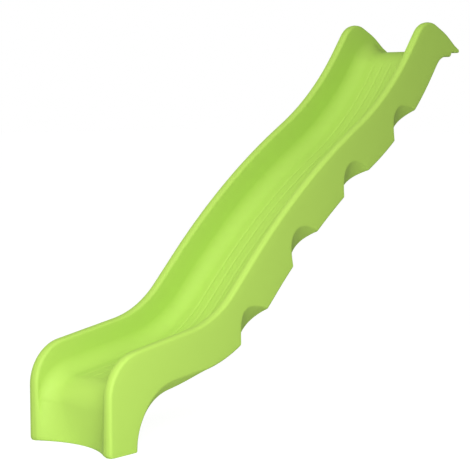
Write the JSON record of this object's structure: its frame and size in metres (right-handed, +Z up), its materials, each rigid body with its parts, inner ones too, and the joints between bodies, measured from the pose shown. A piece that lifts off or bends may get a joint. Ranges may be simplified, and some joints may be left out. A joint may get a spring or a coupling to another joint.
{
  "type": "straight slide",
  "caption": "Straight wave slide in moulded plastic with high rolled side rims, a hollow twin-wall body, a flange that screws to a raised deck and a foot that stands on the ground.",
  "frame": {"origin": "middle of the deck screw holes, on the seat of the deck flange, which is the level of the deck", "axes": "+Y runs up the slide towards the deck, +X is to the right seen from the exit, +Z is up"},
  "size_m": [0.45, 2.2267, 1.6342],
  "materials": {
    "green_plastic": "satin moulded polyethylene",
    "plug_plastic": "satin moulded polyethylene",
    "bush_steel": "satin stainless steel"
  },
  "bodies": {
    "root": {"upper_shell": "green_plastic", "lower_shell": "green_plastic", "sole_plate": "green_plastic", "deck_bushes": "bush_steel", "vent_plugs": "plug_plastic"}
  },
  "joints": []
}
